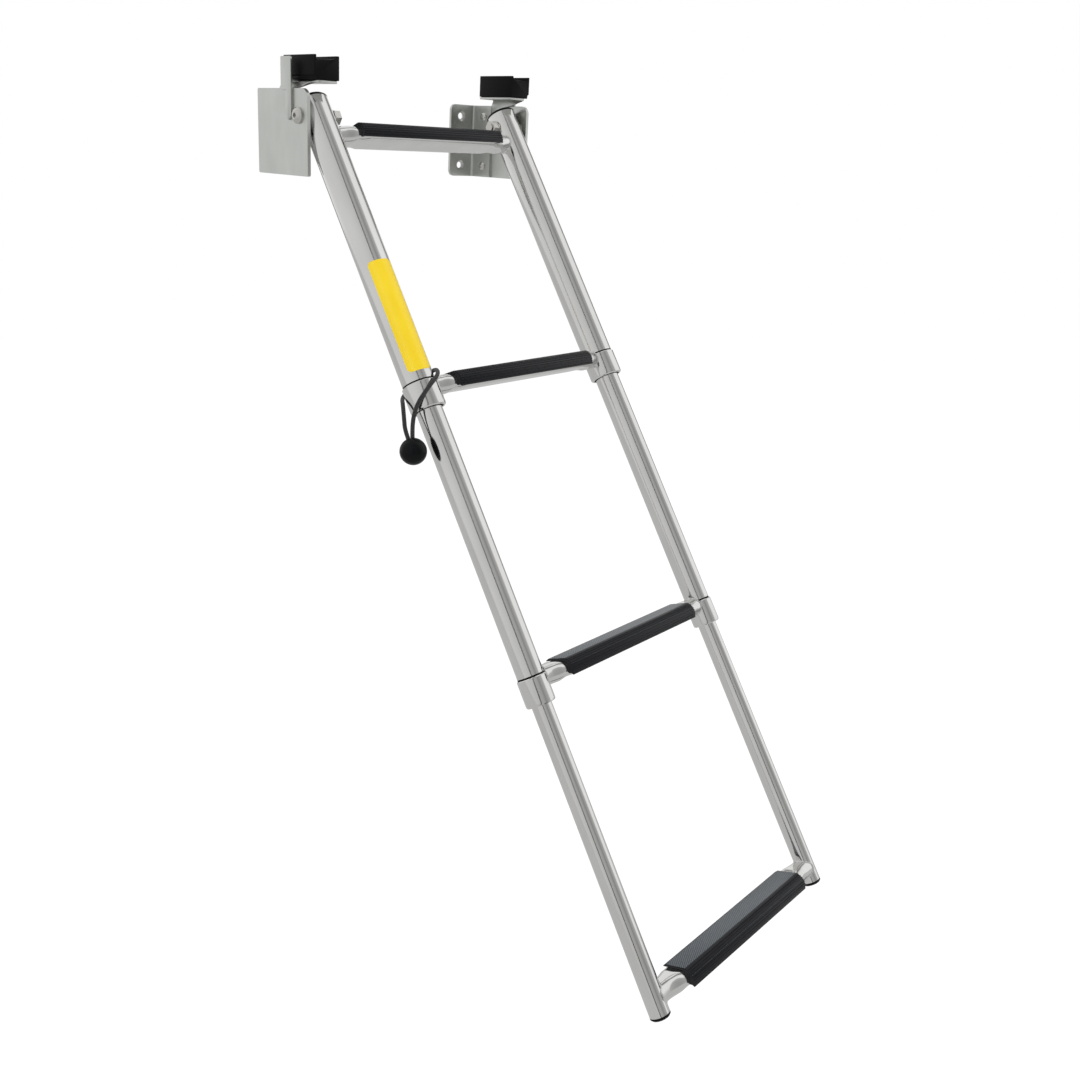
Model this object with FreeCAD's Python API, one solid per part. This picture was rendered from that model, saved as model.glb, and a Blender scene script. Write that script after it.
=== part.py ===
import FreeCAD, Part
import math
import os

# Removable telescoping boarding ladder for a boat: two wall brackets, a hinged upper frame,
# a middle section and a lower section that slide into each other along the tilted rails.
# Millimetres. Origin: rear face of the left base angle, midway between its two holes.
# +X runs to the right rail, -Y faces the climber, +Z is up.
# Ladder pieces are made upright about the pivot line and then tilted as one.

V = FreeCAD.Vector

# Ladder layout
RAIL_SPACING = 258.0
TILT_DEG = 33.8
PIVOT_FROM_WALL = 72.1
PIVOT_HEIGHT = 15.5
PIVOT_TO_FIRST_RUNG = 21.0
FIRST_SPACING = 264.3
SECOND_SPACING = 286.0
THIRD_SPACING = 287.0

# Rail tubes, largest first
OUTER_TUBE_RADIUS = 16.0
MIDDLE_TUBE_RADIUS = 12.7
INNER_TUBE_RADIUS = 9.5
OUTER_TUBE_WALL = 1.5
MIDDLE_TUBE_WALL = 1.5
INNER_TUBE_WALL = 1.2
OUTER_TUBE_ABOVE_PIVOT = 14.5
INNER_TUBE_BELOW_RUNG = 14.5
SLIDE_GAP = 0.3

# Collars, bushes and guide rings
COLLAR_HEIGHT = 25.5
COLLAR_ABOVE_RUNG = 3.5
COLLAR_STEP = 1.3
COLLAR_RIM_FACE = 1.2
COLLAR_RIM_RISE = 2.4
COLLAR_TOP_BEVEL = 0.6
BUSH_FLANGE = 1.6
BUSH_SPIGOT = 8.0
BUSH_SHORT_OF_COLLAR = 1.0
MIDDLE_OVERLAP = 22.0
INNER_OVERLAP = 30.0
STOP_GAP = 0.5

# Rungs, flattened tube turned a little about its own length
RUNG_WIDTH = 34.0
RUNG_HEIGHT = 15.0
RUNG_WALL = 1.5
RUNG_TURN_DEG = 10.5
RUNG_VENT_RADIUS = 3.0
RUNG_CORNER_MIN = 4.0
RUNG_CORNER_OVERHANG = 3.0

# Treads
TREAD_END_FROM_RAIL_AXIS = 34.0
TREAD_GAP = 0.1
TREAD_THICKNESS = 2.4
TREAD_BACK = 13.0
TREAD_BACK_EDGE = 0.8
TREAD_BACK_SLOPE = 3.5
TREAD_FLAT_TO = 11.0
TREAD_NOSE = 20.2
TREAD_FOOT_DEG = 38.0
TREAD_WRAP_DEG = 35.0
TREAD_RIB_COUNT = 5
TREAD_RIB_FROM_DEG = 62.0
TREAD_RIB_TO_DEG = -30.0
TREAD_RIB_CUT = 0.07
TREAD_RIB_FLANK_DEG = 2.5

# Caps and plugs
CAP_THICKNESS = 3.0
CAP_SPIGOT = 4.5
PLUG_SPIGOT = 9.0
CAP_EDGE = 1.4

# Brackets
PLATE_HEIGHT = 80.0
CHEEK_DEPTH = 82.5
CHEEK_BEHIND_BASE = 4.0
CHEEK_THICKNESS = 3.5
CHEEK_OUTER_FROM_AXIS = 21.5
CHEEK_FRONT_CORNER = 8.5
CHEEK_OTHER_CORNER = 2.0
BASE_THICKNESS = 3.0
BASE_FLANGE_WIDTH = 38.0
BASE_LEG_DEPTH = 32.5
BASE_BEND_RADIUS = 6.0
BASE_CORNER = 7.0
HOLE_FROM_RAIL_AXIS = 4.0
HOLE_SPACING = 55.0
HOLE_RADIUS = 3.6
COUNTERSINK_RADIUS = 5.6
COUNTERSINK_DEPTH = 1.6

# Latch bar: strap on the cheek's outer face, shelf over the cheek, short leg on the inner side
BAR_THICKNESS = 2.3
STRAP_REAR_FROM_WALL = 47.0
STRAP_WIDTH = 16.5
STRAP_TOP = 68.5
STRAP_TOP_CORNER = 2.0
STRAP_SHOULDER = 38.0
STRAP_TONGUE_WIDTH = 9.5
STRAP_TONGUE_END = 15.0
STRAP_POINT = 4.0
SHELF_TOP = 48.0
SHELF_REAR_FROM_WALL = 34.0
SHELF_FRONT_FROM_WALL = 90.0
SHELF_PAST_AXIS = 11.5
SHELF_CORNER = 3.0
INNER_LEG_FROM_AXIS = 16.3
INNER_LEG_REAR_FROM_WALL = 34.0
INNER_LEG_WIDTH = 16.0
INNER_LEG_SHOULDER = 37.0
INNER_LEG_POINT = 6.0

# Grip block
GRIP_LENGTH = 47.0
GRIP_WIDTH = 28.6
GRIP_HEIGHT = 22.5
GRIP_REAR_FROM_WALL = 44.0
GRIP_OUTER_FROM_AXIS = 16.0
GRIP_FLANGE = 4.5
GRIP_WAIST_DEPTH = 1.8
GRIP_EDGE = 2.0

# Pivot bolt
BOLT_RADIUS = 4.0
BOLT_RUNNING_GAP = 0.05
BOLT_HEAD_RADIUS = 7.6
BOLT_HEAD_HEIGHT = 4.4
BOLT_SOCKET_RADIUS = 2.6
BOLT_SOCKET_DEPTH = 2.2
BOLT_BEYOND_NUT = 1.5
WASHER_RADIUS = 7.2
WASHER_THICKNESS = 1.4
WASHER_GAP = 0.3
NUT_ACROSS_FLATS = 13.0
NUT_HEIGHT = 6.5

# Stowing cord with its ball, looped round the left rail at the second rung
CORD_RADIUS = 2.0
CORD_CLEARANCE = 0.9
CORD_TURN_DEG = 45.0
CORD_FIRST_DEG = 202.5
CORD_RING_HEIGHTS = (-10.0, 0.0, 9.5, 15.0, 14.0, 4.0, -6.0, -18.0)
CORD_STOW_SIDE = ((-25.5, -7.5, -23.5), (-29.5, -8.0, -36.0))
CORD_FRONT_SIDE = ((-26.5, -0.5, -34.5),)
CORD_INTO_BALL = 7.0
BALL_RADIUS = 12.5
BALL_SIDE = -32.0
BALL_BEHIND_AXIS = 4.0
BALL_BELOW_RUNG = 56.3
BALL_BORE_GAP = 0.35

# Plain label on the left outer tube, angles from the climber's side
LABEL_FROM_DEG = -62.0
LABEL_TO_DEG = 30.0
LABEL_THICKNESS = 0.4
LABEL_GAP = 0.05
LABEL_ABOVE_COLLAR = 9.8
LABEL_LENGTH = 112.0

# Worked out from the sizes above
HALF_SPACING = RAIL_SPACING / 2.0
CHEEK_INNER_FROM_AXIS = CHEEK_OUTER_FROM_AXIS - CHEEK_THICKNESS
ORIGIN_SHIFT = HALF_SPACING - HOLE_FROM_RAIL_AXIS
FIRST_RUNG = -PIVOT_TO_FIRST_RUNG
SECOND_RUNG = FIRST_RUNG - FIRST_SPACING
THIRD_RUNG = SECOND_RUNG - SECOND_SPACING
FOURTH_RUNG = THIRD_RUNG - THIRD_SPACING
OUTER_BORE = OUTER_TUBE_RADIUS - OUTER_TUBE_WALL
MIDDLE_BORE = MIDDLE_TUBE_RADIUS - MIDDLE_TUBE_WALL
INNER_BORE = INNER_TUBE_RADIUS - INNER_TUBE_WALL
OUTER_TUBE_BOTTOM = SECOND_RUNG + COLLAR_ABOVE_RUNG + BUSH_FLANGE
MIDDLE_TUBE_TOP = SECOND_RUNG + MIDDLE_OVERLAP
MIDDLE_TUBE_BOTTOM = THIRD_RUNG + COLLAR_ABOVE_RUNG + BUSH_FLANGE
INNER_TUBE_TOP = THIRD_RUNG + INNER_OVERLAP
INNER_TUBE_BOTTOM = FOURTH_RUNG - INNER_TUBE_BELOW_RUNG


def save(name, shape):
    shape.exportStep("parts/" + name + ".step")
    box = shape.BoundBox
    print(name, len(shape.Solids), round(shape.Volume, 1), shape.isValid(),
          [round(v, 1) for v in (box.XMin, box.YMin, box.ZMin, box.XMax, box.YMax, box.ZMax)])


def ring(outer, inner, low, high):
    """A plain sleeve about Z."""
    body = Part.makeCylinder(outer, high - low, V(0, 0, low))
    return body.cut(Part.makeCylinder(inner, high - low, V(0, 0, low)))


def revolved(points):
    """A closed profile of (radius, height) points turned about Z."""
    wire = Part.makePolygon([V(r, 0, z) for r, z in points + points[:1]])
    return Part.Face(wire).revolve(V(0, 0, 0), V(0, 0, 1), 360)


def prism(points, depth):
    """A flat outline of (y, z) points given a thickness along +X from x = 0."""
    wire = Part.makePolygon([V(0, y, z) for y, z in points + points[:1]])
    return Part.Face(wire).extrude(V(depth, 0, 0))


def long_edges(shape, axis):
    """The straight edges of a shape that run along one axis."""
    return [e for e in shape.Edges if abs(e.tangentAt(e.FirstParameter).dot(axis)) > 0.99]


def oval_section(width, height, x):
    """A flat oval, two straight sides and two half circles, in the plane across X."""
    r = height / 2.0
    y = width / 2.0 - r
    top = Part.LineSegment(V(x, -y, r), V(x, y, r)).toShape()
    back = Part.Arc(V(x, y, r), V(x, y + r, 0), V(x, y, -r)).toShape()
    bottom = Part.LineSegment(V(x, y, -r), V(x, -y, -r)).toShape()
    front = Part.Arc(V(x, -y, -r), V(x, -y - r, 0), V(x, -y, r)).toShape()
    return Part.Face(Part.Wire([top, back, bottom, front]))


def rail_pair(shape):
    """The left and right copy of a shape made about its own rail axis."""
    left = shape.copy()
    left.translate(V(-HALF_SPACING, 0, 0))
    return left, left.mirror(V(0, 0, 0), V(1, 0, 0))


def on_ladder(shape):
    """Tilt a ladder piece about the pivot line and set it in the row's frame."""
    placed = shape.copy()
    placed.rotate(V(0, 0, 0), V(1, 0, 0), -TILT_DEG)
    placed.translate(V(ORIGIN_SHIFT, -PIVOT_FROM_WALL, PIVOT_HEIGHT))
    return placed


def on_wall(shape):
    placed = shape.copy()
    placed.translate(V(ORIGIN_SHIFT, 0, 0))
    return placed


def save_ladder_pair(name, shape):
    left, right = rail_pair(shape)
    save("left_" + name, on_ladder(left))
    save("right_" + name, on_ladder(right))


def save_wall_pair(name, shape):
    left, right = rail_pair(shape)
    save("left_" + name, on_wall(left))
    save("right_" + name, on_wall(right))


def outer_tube():
    tube = ring(OUTER_TUBE_RADIUS, OUTER_BORE, OUTER_TUBE_BOTTOM, OUTER_TUBE_ABOVE_PIVOT)
    reach = 2 * OUTER_TUBE_RADIUS
    hole = Part.makeCylinder(BOLT_RADIUS + BOLT_RUNNING_GAP, 2 * reach, V(-reach, 0, 0), V(1, 0, 0))
    return tube.cut(hole)


def middle_tube():
    return ring(MIDDLE_TUBE_RADIUS, MIDDLE_BORE, MIDDLE_TUBE_BOTTOM, MIDDLE_TUBE_TOP)


def inner_tube():
    return ring(INNER_TUBE_RADIUS, INNER_BORE, INNER_TUBE_BOTTOM, INNER_TUBE_TOP)


def collar(tube_radius, bore, rung_height):
    """The short steel sleeve under a tube's end, its lower rim drawn in."""
    top = rung_height + COLLAR_ABOVE_RUNG
    low = top - COLLAR_HEIGHT
    outer = tube_radius + COLLAR_STEP
    return revolved([(bore, low), (outer - COLLAR_RIM_FACE, low), (outer - COLLAR_RIM_FACE / 4, low + COLLAR_RIM_RISE / 3),
                     (outer, low + COLLAR_RIM_RISE), (outer, top - COLLAR_TOP_BEVEL),
                     (outer - COLLAR_TOP_BEVEL, top), (bore, top)])


def bush(tube_radius, bore, sliding_radius, rung_height):
    """The black bush whose flange shows as a dark line between tube and collar."""
    top = rung_height + COLLAR_ABOVE_RUNG
    low = top - COLLAR_HEIGHT + BUSH_SHORT_OF_COLLAR
    inner = sliding_radius + SLIDE_GAP
    return revolved([(inner, low), (bore, low), (bore, top), (tube_radius, top),
                     (tube_radius, top + BUSH_FLANGE), (bore, top + BUSH_FLANGE),
                     (bore, top + BUSH_FLANGE + BUSH_SPIGOT), (inner, top + BUSH_FLANGE + BUSH_SPIGOT)])


def guide_ring(bore, sliding_radius, rung_height, tube_top):
    """The ring round the top of a sliding tube, which stops on the bush below it."""
    low = rung_height + COLLAR_ABOVE_RUNG + BUSH_FLANGE + BUSH_SPIGOT + STOP_GAP
    return ring(bore - SLIDE_GAP, sliding_radius, low, tube_top)


def end_cap(radius, bore, face, outward, spigot):
    """A black cap with a bevelled rim; outward is +1 on top of a tube and -1 under it."""
    rim = face + outward * CAP_THICKNESS
    return revolved([(0, face - outward * spigot), (bore, face - outward * spigot), (bore, face), (radius, face),
                     (radius, rim - outward * CAP_EDGE), (radius - CAP_EDGE, rim), (0, rim)])


def turned(shape):
    """Turn a rung or tread about its own length, front edge down."""
    shape.rotate(V(0, 0, 0), V(1, 0, 0), RUNG_TURN_DEG)
    return shape


def rung(height, seat_radius):
    """A flattened tube across the rails, its ends shaped to the tubes or collars it is welded to."""
    solid = oval_section(RUNG_WIDTH, RUNG_HEIGHT, -HALF_SPACING).extrude(V(RAIL_SPACING, 0, 0))
    plan = Part.makeBox(RAIL_SPACING, RUNG_WIDTH, RUNG_HEIGHT, V(-HALF_SPACING, -RUNG_WIDTH / 2, -RUNG_HEIGHT / 2))
    corner = max(RUNG_CORNER_MIN, RUNG_WIDTH / 2 - seat_radius + RUNG_CORNER_OVERHANG)
    solid = solid.common(plan.makeFillet(corner, long_edges(plan, V(0, 0, 1))))
    hollow_end = HALF_SPACING - TREAD_END_FROM_RAIL_AXIS
    hollow = oval_section(RUNG_WIDTH - 2 * RUNG_WALL, RUNG_HEIGHT - 2 * RUNG_WALL, -hollow_end)
    solid = solid.cut(hollow.extrude(V(2 * hollow_end, 0, 0)))
    solid = solid.cut(Part.makeCylinder(RUNG_VENT_RADIUS, RAIL_SPACING, V(-HALF_SPACING, 0, 0), V(1, 0, 0)))
    solid = turned(solid)
    for side in (-1, 1):
        solid = solid.cut(Part.makeCylinder(seat_radius, 2 * RUNG_WIDTH, V(side * HALF_SPACING, 0, -RUNG_WIDTH)))
    solid.translate(V(0, 0, height))
    return solid


def tread_profile(x):
    """Section of the clip-on tread: flat top, thin back edge, ribbed front curving down round the rung's nose."""
    seat = RUNG_HEIGHT / 2 + TREAD_GAP
    top = seat + TREAD_THICKNESS

    def on_nose(degrees, share=1.0):
        turn = math.radians(degrees)
        return (-TREAD_FLAT_TO - share * (TREAD_NOSE - TREAD_FLAT_TO) * math.cos(turn), share * top * math.sin(turn))

    outline = [(TREAD_BACK, seat), (TREAD_BACK, seat + TREAD_BACK_EDGE), (TREAD_BACK - TREAD_BACK_SLOPE, top),
               (-TREAD_FLAT_TO, top), on_nose((90 + TREAD_RIB_FROM_DEG) / 2)]
    pitch = (TREAD_RIB_FROM_DEG - TREAD_RIB_TO_DEG) / TREAD_RIB_COUNT
    for i in range(TREAD_RIB_COUNT):
        high = TREAD_RIB_FROM_DEG - i * pitch
        low = high - pitch / 2
        outline += [on_nose(high), on_nose(high - TREAD_RIB_FLANK_DEG, 1 - TREAD_RIB_CUT),
                    on_nose(low + TREAD_RIB_FLANK_DEG, 1 - TREAD_RIB_CUT), on_nose(low)]
    outline.append(on_nose(-TREAD_FOOT_DEG))
    points = [V(x, y, z) for y, z in outline]
    flat = RUNG_WIDTH / 2 - RUNG_HEIGHT / 2
    wrap = math.radians(TREAD_WRAP_DEG)
    lower = V(x, -flat - seat * math.cos(wrap), -seat * math.sin(wrap))
    middle_turn = (math.pi / 2 - wrap) / 2
    middle = V(x, -flat - seat * math.cos(middle_turn), seat * math.sin(middle_turn))
    edges = [Part.LineSegment(a, b).toShape() for a, b in zip(points, points[1:])]
    edges.append(Part.LineSegment(points[-1], lower).toShape())
    edges.append(Part.Arc(lower, middle, V(x, -flat, seat)).toShape())
    edges.append(Part.LineSegment(V(x, -flat, seat), points[0]).toShape())
    return Part.Face(Part.Wire(edges))


def tread(height):
    half = HALF_SPACING - TREAD_END_FROM_RAIL_AXIS
    body = turned(tread_profile(-half).extrude(V(2 * half, 0, 0)))
    body.translate(V(0, 0, height))
    return body


def cheek_plate():
    """The outer plate with the pivot bolt's hole, its front top corner well rounded."""
    half = PLATE_HEIGHT / 2
    front = -CHEEK_BEHIND_BASE - CHEEK_DEPTH
    plate = prism([(front, -half), (-CHEEK_BEHIND_BASE, -half), (-CHEEK_BEHIND_BASE, half), (front, half)],
                  CHEEK_THICKNESS)
    corners = long_edges(plate, V(1, 0, 0))
    nose = [e for e in corners if e.CenterOfMass.y < front + 1 and e.CenterOfMass.z > 0]
    others = [e for e in corners if e not in nose]
    plate = plate.makeFillet(CHEEK_FRONT_CORNER, nose)
    spots = [e.CenterOfMass for e in others]
    others = [e for e in long_edges(plate, V(1, 0, 0)) if any(e.CenterOfMass.distanceToPoint(s) < 0.01 for s in spots)]
    plate = plate.makeFillet(CHEEK_OTHER_CORNER, others)
    hole = Part.makeCylinder(BOLT_RADIUS + BOLT_RUNNING_GAP, CHEEK_THICKNESS,
                             V(0, -PIVOT_FROM_WALL, PIVOT_HEIGHT), V(1, 0, 0))
    plate = plate.cut(hole)
    plate.translate(V(-CHEEK_OUTER_FROM_AXIS, 0, 0))
    return plate


def base_angle():
    """Bent angle plate: the flange that bolts to the boat and the leg beside the cheek."""
    half = PLATE_HEIGHT / 2
    t = BASE_THICKNESS
    x0 = -CHEEK_INNER_FROM_AXIS
    flange = Part.makeBox(BASE_FLANGE_WIDTH, t, PLATE_HEIGHT, V(x0, -t, -half))
    leg = Part.makeBox(t, BASE_LEG_DEPTH, PLATE_HEIGHT, V(x0, -BASE_LEG_DEPTH, -half))
    plate = flange.fuse(leg).removeSplitter()
    upright = long_edges(plate, V(0, 0, 1))
    outer_bend = [e for e in upright if abs(e.CenterOfMass.x - x0) < 0.01 and abs(e.CenterOfMass.y) < 0.01]
    plate = plate.makeFillet(BASE_BEND_RADIUS, outer_bend)
    inner_bend = [e for e in long_edges(plate, V(0, 0, 1))
                  if abs(e.CenterOfMass.x - x0 - t) < 0.01 and abs(e.CenterOfMass.y + t) < 0.01]
    plate = plate.makeFillet(BASE_BEND_RADIUS - t, inner_bend)
    free_corners = [e for e in plate.Edges if abs(e.CenterOfMass.x - x0 - BASE_FLANGE_WIDTH) < 0.01
                    and abs(abs(e.CenterOfMass.z) - half) < 0.01]
    plate = plate.makeFillet(BASE_CORNER, free_corners)
    for side in (-1, 1):
        z = side * HOLE_SPACING / 2
        plate = plate.cut(Part.makeCylinder(HOLE_RADIUS, t, V(HOLE_FROM_RAIL_AXIS, -t, z), V(0, 1, 0)))
        plate = plate.cut(Part.makeCone(COUNTERSINK_RADIUS, HOLE_RADIUS, COUNTERSINK_DEPTH,
                                        V(HOLE_FROM_RAIL_AXIS, -t, z), V(0, 1, 0)))
    return plate


def latch_bar():
    """Folded strap: a tongue on the cheek's outer face, a shelf over the cheek, a short leg inside it."""
    t = BAR_THICKNESS
    x0 = -CHEEK_OUTER_FROM_AXIS - t
    rear = -STRAP_REAR_FROM_WALL
    front = rear - STRAP_WIDTH
    tongue_rear = front + STRAP_TONGUE_WIDTH
    strap = prism([(front, STRAP_TONGUE_END), ((front + tongue_rear) / 2, STRAP_TONGUE_END - STRAP_POINT),
                   (tongue_rear, STRAP_TONGUE_END), (tongue_rear, STRAP_SHOULDER), (rear, STRAP_SHOULDER),
                   (rear, STRAP_TOP), (front + STRAP_TOP_CORNER, STRAP_TOP), (front, STRAP_TOP - STRAP_TOP_CORNER)], t)
    strap.translate(V(x0, 0, 0))
    shelf = Part.makeBox(SHELF_PAST_AXIS - x0, SHELF_FRONT_FROM_WALL - SHELF_REAR_FROM_WALL, t,
                         V(x0, -SHELF_FRONT_FROM_WALL, SHELF_TOP - t))
    shelf = shelf.makeFillet(SHELF_CORNER, long_edges(shelf, V(0, 0, 1)))
    leg_rear = -INNER_LEG_REAR_FROM_WALL
    leg_front = leg_rear - INNER_LEG_WIDTH
    leg = prism([(leg_front, INNER_LEG_SHOULDER), ((leg_rear + leg_front) / 2, INNER_LEG_SHOULDER - INNER_LEG_POINT),
                 (leg_rear, INNER_LEG_SHOULDER), (leg_rear, SHELF_TOP - t), (leg_front, SHELF_TOP - t)], t)
    leg.translate(V(-INNER_LEG_FROM_AXIS, 0, 0))
    return strap.fuse(shelf).fuse(leg).removeSplitter()


def grip_block():
    """The black moulded block on the shelf, with a shallow waist between its two side flanges."""
    half = GRIP_WIDTH / 2
    section = [(-half, 0), (half, 0), (half, GRIP_HEIGHT), (half - GRIP_FLANGE, GRIP_HEIGHT),
               (half - GRIP_FLANGE, GRIP_HEIGHT - GRIP_WAIST_DEPTH),
               (-half + GRIP_FLANGE, GRIP_HEIGHT - GRIP_WAIST_DEPTH), (-half + GRIP_FLANGE, GRIP_HEIGHT),
               (-half, GRIP_HEIGHT)]
    wire = Part.makePolygon([V(x, 0, z) for x, z in section + section[:1]])
    block = Part.Face(wire).extrude(V(0, GRIP_LENGTH, 0))
    sides = [e for e in long_edges(block, V(0, 1, 0)) if abs(abs(e.CenterOfMass.x) - half) < 0.01]
    block = block.makeFillet(GRIP_EDGE, sides)
    ends = [e for e in long_edges(block, V(0, 0, 1)) if abs(abs(e.CenterOfMass.x) - half) < 0.01]
    block = block.makeChamfer(GRIP_EDGE / 2, ends)
    block.translate(V(half - GRIP_OUTER_FROM_AXIS, -GRIP_REAR_FROM_WALL - GRIP_LENGTH, SHELF_TOP))
    return block


def pivot_bolt():
    """Button-head bolt through the cheek and the rail's top end."""
    under_head = -CHEEK_OUTER_FROM_AXIS
    end = OUTER_TUBE_RADIUS + WASHER_GAP + WASHER_THICKNESS + NUT_HEIGHT + BOLT_BEYOND_NUT
    crown = under_head - BOLT_HEAD_HEIGHT
    profile = [(crown, 0), (crown, 0.45 * BOLT_HEAD_RADIUS), (crown + 0.25 * BOLT_HEAD_HEIGHT, 0.8 * BOLT_HEAD_RADIUS),
               (crown + 0.6 * BOLT_HEAD_HEIGHT, BOLT_HEAD_RADIUS), (under_head, BOLT_HEAD_RADIUS),
               (under_head, BOLT_RADIUS), (end, BOLT_RADIUS), (end, 0)]
    wire = Part.makePolygon([V(x, 0, r) for x, r in profile + profile[:1]])
    bolt = Part.Face(wire).revolve(V(0, 0, 0), V(1, 0, 0), 360)
    hexagon = [(BOLT_SOCKET_RADIUS * math.cos(math.radians(60 * i)), BOLT_SOCKET_RADIUS * math.sin(math.radians(60 * i)))
               for i in range(6)]
    socket = prism(hexagon, BOLT_SOCKET_DEPTH)
    socket.translate(V(crown, 0, 0))
    bolt = bolt.cut(socket)
    bolt.translate(V(0, -PIVOT_FROM_WALL, PIVOT_HEIGHT))
    return bolt


def pivot_nut():
    """Locking nut with its washer inside the rail, and the spacer washer between cheek and rail."""
    low = OUTER_TUBE_RADIUS + WASHER_GAP
    washer = Part.makeCylinder(WASHER_RADIUS, WASHER_THICKNESS, V(low, 0, 0), V(1, 0, 0))
    corner = NUT_ACROSS_FLATS / math.sqrt(3)
    hexagon = prism([(corner * math.cos(math.radians(60 * i)), corner * math.sin(math.radians(60 * i)))
                     for i in range(6)], NUT_HEIGHT)
    hexagon.translate(V(low + WASHER_THICKNESS, 0, 0))
    bore = Part.makeCylinder(BOLT_RADIUS, WASHER_THICKNESS + NUT_HEIGHT, V(low, 0, 0), V(1, 0, 0))
    nut = washer.fuse(hexagon).cut(bore)
    spacer_length = CHEEK_INNER_FROM_AXIS - OUTER_TUBE_RADIUS - WASHER_GAP
    start = V(-CHEEK_INNER_FROM_AXIS, 0, 0)
    spacer = Part.makeCylinder(WASHER_RADIUS, spacer_length, start, V(1, 0, 0))
    spacer = spacer.cut(Part.makeCylinder(BOLT_RADIUS, spacer_length, start, V(1, 0, 0)))
    both = Part.makeCompound([nut, spacer])
    both.translate(V(0, -PIVOT_FROM_WALL, PIVOT_HEIGHT))
    return both


def left_rail_point(x, y, height):
    return V(x - HALF_SPACING, y, height)


def ball_centre():
    return left_rail_point(BALL_SIDE, BALL_BEHIND_AXIS, SECOND_RUNG - BALL_BELOW_RUNG)


def cord_points():
    """The cord's route: out of the ball, behind the rail, over the rung's root, across the collar and back."""
    reach = OUTER_TUBE_RADIUS + COLLAR_STEP + CORD_RADIUS + CORD_CLEARANCE
    corner = reach / math.cos(math.radians(CORD_TURN_DEG / 2))
    points = [left_rail_point(x, -v, SECOND_RUNG + h) for x, v, h in reversed(CORD_STOW_SIDE)]
    for i, h in enumerate(CORD_RING_HEIGHTS):
        turn = math.radians(CORD_FIRST_DEG + i * CORD_TURN_DEG)
        points.append(left_rail_point(corner * math.cos(turn), -corner * math.sin(turn), SECOND_RUNG + h))
    points += [left_rail_point(x, -v, SECOND_RUNG + h) for x, v, h in CORD_FRONT_SIDE]
    centre = ball_centre()
    ends = []
    for near in (points[0], points[-1]):
        inward = centre - near
        inward.normalize()
        ends.append(centre - inward * (BALL_RADIUS - CORD_INTO_BALL))
    return [ends[0]] + points + [ends[1]]


def tube_along(points, radius):
    """A round tube on straight runs joined by tangent arcs."""
    edges = []
    start = points[0]
    for before, corner, after in zip(points, points[1:], points[2:]):
        back = before - corner
        ahead = after - corner
        turn = math.pi - back.getAngle(ahead)
        cut = 0.45 * min(back.Length, ahead.Length)
        back.normalize()
        ahead.normalize()
        inner = back + ahead
        inner.normalize()
        bend = cut / math.tan(turn / 2)
        first = corner + back * cut
        last = corner + ahead * cut
        middle = corner + inner * (bend / math.cos(turn / 2) - bend)
        edges.append(Part.LineSegment(start, first).toShape())
        edges.append(Part.Arc(first, middle, last).toShape())
        start = last
        print("cord bend radius", round(bend, 1))
    edges.append(Part.LineSegment(start, points[-1]).toShape())
    path = Part.Wire(edges)
    heading = points[1] - points[0]
    profile = Part.Wire(Part.makeCircle(radius, points[0], heading))
    tube = path.makePipeShell([profile], True, True)
    print("cord length", round(path.Length, 1), "volume", round(tube.Volume, 1),
          "section by length", round(math.pi * radius ** 2 * path.Length, 1))
    return tube


def bungee_ball():
    """The ball with a bore for each end of the cord."""
    ball = Part.makeSphere(BALL_RADIUS, ball_centre())
    points = cord_points()
    for end, near in ((points[0], points[1]), (points[-1], points[-2])):
        ball = ball.cut(Part.makeCylinder(CORD_RADIUS + BALL_BORE_GAP, 2 * BALL_RADIUS, end, near - end))
    return ball


def label_plate():
    """A thin plain plate bent round the left outer tube, open at the back."""
    low = SECOND_RUNG + COLLAR_ABOVE_RUNG + LABEL_ABOVE_COLLAR
    inner = OUTER_TUBE_RADIUS + LABEL_GAP
    outer = inner + LABEL_THICKNESS
    section = Part.Face(Part.makePolygon([V(0, -inner, low), V(0, -outer, low), V(0, -outer, low + LABEL_LENGTH),
                                          V(0, -inner, low + LABEL_LENGTH), V(0, -inner, low)]))
    section.rotate(V(0, 0, 0), V(0, 0, 1), LABEL_FROM_DEG)
    plate = section.revolve(V(0, 0, 0), V(0, 0, 1), LABEL_TO_DEG - LABEL_FROM_DEG)
    plate.translate(V(-HALF_SPACING, 0, 0))
    return plate


os.makedirs("parts", exist_ok=True)

save_wall_pair("base_angle", base_angle())
save_wall_pair("cheek_plate", cheek_plate())
save_wall_pair("latch_bar", latch_bar())
save_wall_pair("grip_block", grip_block())
save_wall_pair("pivot_bolt", pivot_bolt())
save_wall_pair("pivot_nut", pivot_nut())

save_ladder_pair("outer_tube", outer_tube())
save_ladder_pair("top_cap", end_cap(OUTER_TUBE_RADIUS, OUTER_BORE, OUTER_TUBE_ABOVE_PIVOT, 1, CAP_SPIGOT))
save_ladder_pair("upper_collar", collar(OUTER_TUBE_RADIUS, OUTER_BORE, SECOND_RUNG))
save_ladder_pair("upper_bush", bush(OUTER_TUBE_RADIUS, OUTER_BORE, MIDDLE_TUBE_RADIUS, SECOND_RUNG))

save_ladder_pair("middle_tube", middle_tube())
save_ladder_pair("middle_guide", guide_ring(OUTER_BORE, MIDDLE_TUBE_RADIUS, SECOND_RUNG, MIDDLE_TUBE_TOP))
save_ladder_pair("lower_collar", collar(MIDDLE_TUBE_RADIUS, MIDDLE_BORE, THIRD_RUNG))
save_ladder_pair("lower_bush", bush(MIDDLE_TUBE_RADIUS, MIDDLE_BORE, INNER_TUBE_RADIUS, THIRD_RUNG))

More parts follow.
